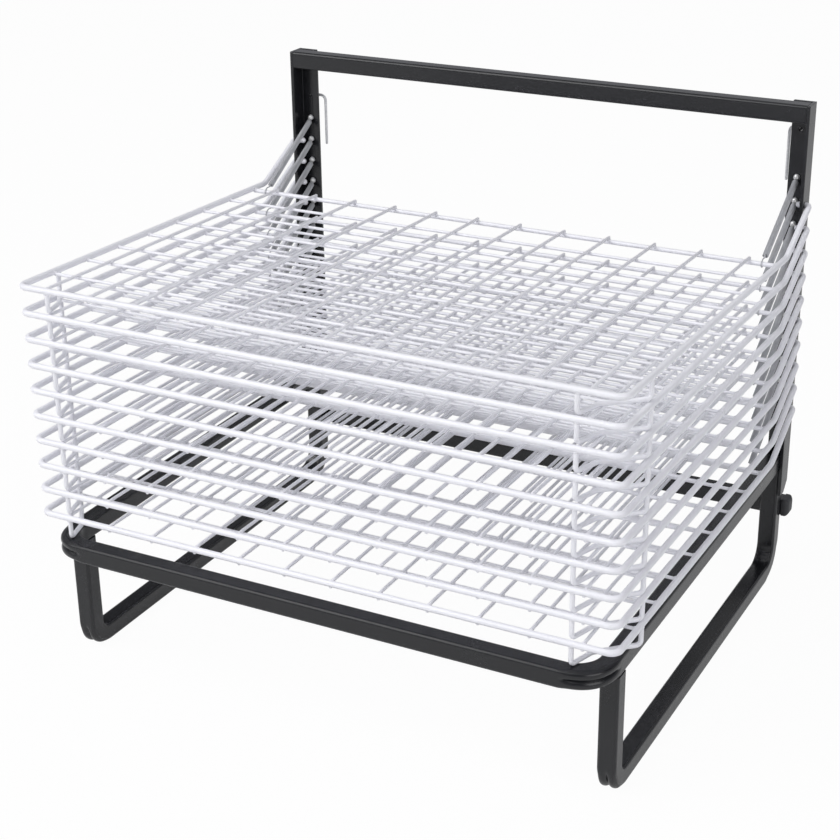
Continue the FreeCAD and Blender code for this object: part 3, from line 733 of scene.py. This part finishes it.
def bright_stud():
    """Zinc-plated stud: bright, with faint turning marks and small dull spots."""
    f = Finish("bright_stud")
    tone = f.noise(300, 3, 0.6)
    spots = f.step(f.noise(900, 2), 0.6, 0.7)
    colour = f.mix(tone, (0.70, 0.70, 0.695), (0.86, 0.86, 0.85))
    colour = f.mix(spots * 0.4, colour, (0.48, 0.47, 0.45))
    rough = 0.24 + 0.14 * tone + 0.15 * spots
    bump = f.relief(tone, 0.03, 0.5)
    return f.done(Base_Color=colour, Metallic=0.6, Roughness=rough, Normal=bump)


def galvanised_latch_wire():
    """Pale galvanised wire with a fine spangle, near black as painted shade where its mark says it
    lies in the hole.
    """
    f = Finish("galvanised_latch_wire")
    cells = f.node(
        "ShaderNodeTexVoronoi", {}, {"Vector": f.place, "Scale": 700.0}, out="Color"
    )
    grey = f.node("ShaderNodeSeparateColor", {}, {"Color": cells}, out="Red")
    fine = f.noise(2200, 2)
    colour = f.mix(grey, (0.72, 0.73, 0.74), (0.84, 0.845, 0.85))
    # painted shade: the wire's end inside the flange's hole turns near black by its mark
    colour = f.mix(f.mark(), colour, (0.010, 0.010, 0.012))
    rough = 0.34 + 0.14 * grey + 0.05 * fine
    bump = f.relief(fine, 0.015, 0.6)
    return f.done(Base_Color=colour, Metallic=0.3, Roughness=rough, Normal=bump)


def moulded_cap_plastic():
    """Matt black moulded plastic with a fine grain."""
    f = Finish("moulded_cap_plastic")
    grain = f.noise(2600, 2, 0.6)
    cloud = f.noise(60, 3)
    scuff = f.step(f.noise(350, 4, 0.7), 0.58, 0.72)
    colour = f.mix(cloud, (0.026, 0.027, 0.030), (0.038, 0.039, 0.043))
    colour = f.mix(scuff * 0.3, colour, (0.085, 0.086, 0.09))
    rough = 0.42 + 0.12 * grain + 0.10 * scuff
    return f.done(Base_Color=colour, Roughness=rough, Normal=f.relief(grain, 0.03, 0.6), IOR=1.5)


# Camera, floor, surroundings and lamps


def placed(thing, columns, spot):
    """Links an object into the scene, with its own X, Y and Z axes and its place."""
    bpy.context.scene.collection.objects.link(thing)
    rows = [[column[i] for column in columns] + [spot[i]] for i in range(3)]
    thing.matrix_world = Matrix(rows + [[0, 0, 0, 1]])


def photograph_camera():
    """Where the picture was taken from: turned, tipped down and rolled a little."""
    yaw, pitch, roll = (math.radians(v) for v in (27.7627, 23.8572, -0.6898))
    spot = (0.5878067, -1.14285, 0.7390552)
    focal_pixels, picture_pixels, sensor = 1793.75, 840, 36.0
    forward = np.array(
        [-math.sin(yaw) * math.cos(pitch), math.cos(yaw) * math.cos(pitch), -math.sin(pitch)]
    )
    level = np.array([math.cos(yaw), math.sin(yaw), 0.0])
    upright = np.cross(level, forward)
    right = level * math.cos(roll) + upright * math.sin(roll)
    up = upright * math.cos(roll) - level * math.sin(roll)
    lens = bpy.data.cameras.new("camera")
    lens.sensor_width = sensor
    lens.lens = focal_pixels / picture_pixels * sensor
    lens.clip_start, lens.clip_end = 0.05, 40.0
    camera = bpy.data.objects.new("camera", lens)
    placed(camera, (right, up, -forward), spot)
    bpy.context.scene.camera = camera


def soft_light(name, spot, width, watts):
    """A large square lamp that faces the middle of the rack."""
    lamp = bpy.data.lights.new(name, "AREA")
    lamp.shape, lamp.size, lamp.energy = "SQUARE", width, watts
    back = unit(np.subtract(spot, (0, 0, 0.2)))
    side = unit(np.cross(Z, back))
    placed(bpy.data.objects.new(name, lamp), (side, np.cross(back, side), back), spot)


def pale_floor():
    """Round matt floor: white where the camera sees it, and half as white in reflections."""
    f = Finish("studio_floor")
    path = f.tree.nodes.new("ShaderNodeLightPath")
    camera, glossy, through = (
        Amount(f, path.outputs["Is %s Ray" % kind]) for kind in ("Camera", "Glossy", "Transmission")
    )
    straight = camera.math("MAXIMUM", camera, through)
    seen = camera.math("MAXIMUM", straight * 0.965, glossy * 0.42)
    matt = f.node("ShaderNodeBsdfDiffuse", {}, {"Color": (0.82, 0.82, 0.82, 1)})
    white = f.node("ShaderNodeEmission", {}, {"Color": (1, 1, 1, 1), "Strength": 1.0})
    a = np.arange(64) * 2 * math.pi / 64
    circle = np.stack([np.cos(a), np.sin(a), np.zeros(64)], axis=-1) * 9.0
    mesh = bpy.data.meshes.new("floor")
    mesh.from_pydata(circle.tolist(), [], [list(range(64))])
    both = f.node("ShaderNodeMixShader", {}, {0: seen, 1: matt, 2: white})
    mesh.materials.append(f.surface(both))
    floor = bpy.data.objects.new("floor", mesh)
    bpy.context.scene.collection.objects.link(floor)
    floor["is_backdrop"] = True


def surroundings():
    """White where the camera sees them; for light and reflections, grey by the ray's height."""
    world = bpy.data.worlds.new("surroundings")
    bpy.context.scene.world = world
    world.use_nodes = True
    tree = world.node_tree
    tree.nodes.clear()
    path = tree.nodes.new("ShaderNodeLightPath")
    direction = tree.nodes.new("ShaderNodeTexCoord")
    height = tree.nodes.new("ShaderNodeSeparateXYZ")
    tree.links.new(direction.outputs["Generated"], height.inputs[0])
    sky = tree.nodes.new("ShaderNodeValToRGB")
    sky.color_ramp.interpolation = "EASE"
    heights = ((0.0, 0.22), (0.15, 0.50), (0.31, 0.50), (0.46, 0.06), (0.62, 0.08), (0.96, 0.42))
    stops = sky.color_ramp.elements
    for spot, _ in heights[1:-1]:
        stops.new(spot)
    for stop, (spot, grey) in zip(stops, heights):
        stop.position, stop.color = spot, (grey * 0.93, grey * 0.94, grey, 1)
    tree.links.new(height.outputs["Z"], sky.inputs[0])
    light = tree.nodes.new("ShaderNodeBackground")
    tree.links.new(sky.outputs[0], light.inputs["Color"])
    white = tree.nodes.new("ShaderNodeBackground")
    white.inputs["Color"].default_value = (1, 1, 1, 1)
    chosen = tree.nodes.new("ShaderNodeMixShader")
    output = tree.nodes.new("ShaderNodeOutputWorld")
    tree.links.new(path.outputs["Is Camera Ray"], chosen.inputs[0])
    tree.links.new(light.outputs[0], chosen.inputs[1])
    tree.links.new(white.outputs[0], chosen.inputs[2])
    tree.links.new(chosen.outputs[0], output.inputs["Surface"])


# Putting the rack together

bpy.context.scene.view_settings.view_transform = "Standard"
photograph_camera()
pale_floor()
surroundings()
soft_light("key_light", (-1.6, -1.9, 2.6), 2.5, 86)
soft_light("fill_light", (2.4, -1.2, 1.6), 2.0, 27)
soft_light("back_light", (0.3, 2.6, 2.2), 2.0, 7)

coat, white = black_powder_coat(), white_wire_coat()
spring_zinc, stud_zinc = zinc_spring_wire(), bright_stud()
latch_zinc, cap_plastic = galvanised_latch_wire(), moulded_cap_plastic()

section_out = np.abs(tube_section(TUBE_HALF, TUBE_CORNER)[0])
worn = (np.abs(section_out - EDGE_OUT) < EDGE_REACH) * 1.0
tube_x, leg_rear = FRAME_SIDE - TUBE_HALF, LEG_BACK - TUBE_HALF
platform_front, platform_z = FRONT_FACE + TUBE_HALF, PLATFORM_TOP - TUBE_HALF
platform = square_tube(
    [
        (-tube_x, leg_rear - TUBE_HALF, platform_z),
        (-tube_x, platform_front, platform_z),
        (tube_x, platform_front, platform_z),
        (tube_x, leg_rear - TUBE_HALF, platform_z),
    ],
    [PLATFORM_BEND - TUBE_HALF] * 2,
    Z,
)
Skin().band(platform, worn).piece(
    "platform_tube", coat, "frame", ["base_platform"], "black_coated_steel"
)
leg_front = FRONT_FACE + LEG_SETBACK + TUBE_HALF
leg = square_tube(
    [
        (tube_x, leg_front, PLATFORM_TOP - TUBE),
        (tube_x, leg_front, TUBE_HALF),
        (tube_x, leg_rear, TUBE_HALF),
        (tube_x, leg_rear, PLATFORM_TOP),
    ],
    [LEG_FRONT_BEND - TUBE_HALF, LEG_REAR_BEND - TUBE_HALF],
    X,
    (True, True),
)
Skin().band(leg, worn).piece(
    "right_leg_tube", coat, "frame", ["right_sled_leg"], "black_coated_steel"
)
Skin().band(mirrored(leg), worn[::-1]).piece(
    "left_leg_tube", coat, "frame", ["left_sled_leg"], "black_coated_steel"
)
for name, node, y, z in (
    ("top_tube", "top_bar", ANGLE_FRONT + TUBE_HALF, RACK_HEIGHT - TUBE_HALF),
    ("crossbar_tube", "rear_crossbar", LEG_BACK + TUBE_HALF, CROSSBAR_Z),
):
    bar = square_tube([(-FRAME_SIDE, y, z), (0, y, z), (FRAME_SIDE, y, z)], [], Z)
    skin = Skin().band(bar, worn)
    for bead in weld_beads() if node == "top_bar" else ():
        skin.band(bead)
    skin.piece(name, coat, "frame", [node], "black_coated_steel")

for name, cap in (("right", end_cap()), ("left", mirrored(end_cap()))):
    Skin().band(cap).piece(
        name + "_cap", cap_plastic, "frame", [name + "_end_cap"], "black_plastic"
    )

for name in ("left_upright", "right_upright"):
    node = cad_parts[name]
    for place in node.material_slots:
        place.material = coat
    weld = node.modifiers.new("join", "WELD")
    weld.merge_threshold = 0.000005
    bevel = node.modifiers.new("soft_edges", "BEVEL")
    bevel.width, bevel.segments, bevel.limit_method = 0.00045, 2, "ANGLE"
    bevel.angle_limit = math.radians(30)

studs = Skin()
for shelf in range(SHELVES):
    for side in (LEFT, RIGHT):
        studs.band(headed_stud(shelf, side))
studs.piece("headed_studs", stud_zinc, "frame", ["spring_studs"], "zinc_studs")

for name, side, step in (("left_latch", LEFT, 1), ("right_latch", RIGHT, 2)):
    Skin().band(*latch(side, step)).piece(
        name + "_hook", latch_zinc, name, [name + "_wire"], "galvanised_wire"
    )

rim_skin = Skin().band(rim())
mesh_skin = mesh_of_wires(Skin())
foot_skin = stand_offs(Skin())
for shelf in range(SHELVES):
    label, body = "%02d" % (shelf + 1), "shelf_%02d" % (shelf + 1)
    for skin, title, node in (
        (rim_skin, "bent_rim_", "_rim"),
        (mesh_skin, "welded_mesh_", "_mesh"),
        (foot_skin, "corner_stand_offs_", "_feet"),
    ):
        skin.piece(title + label, white, body, [body + node], "white_coated_wire", hung(shelf))
    springs = Skin()
    for side in (LEFT, RIGHT):
        tension_spring(springs, shelf, side)
    pair = springs.piece(
        "tension_springs_" + label, spring_zinc, None, ["spring_pair_" + label], "zinc_springs"
    )
    stud = np.array([0, LEG_BACK - 1.1, stud_height(shelf)])
    bar = hung(shelf)(np.array([0, BACK_BAR, PLANE - HOOK_BAR_DROP]))
    reach = stud + (bar - stud) * 0.4
    tuple(reach / 1000)
    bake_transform(pair)

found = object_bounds()
boxes = {"cad": cad_box, "visual": found}
{k: [list(map(float, c)) for c in v] for k, v in boxes.items()}
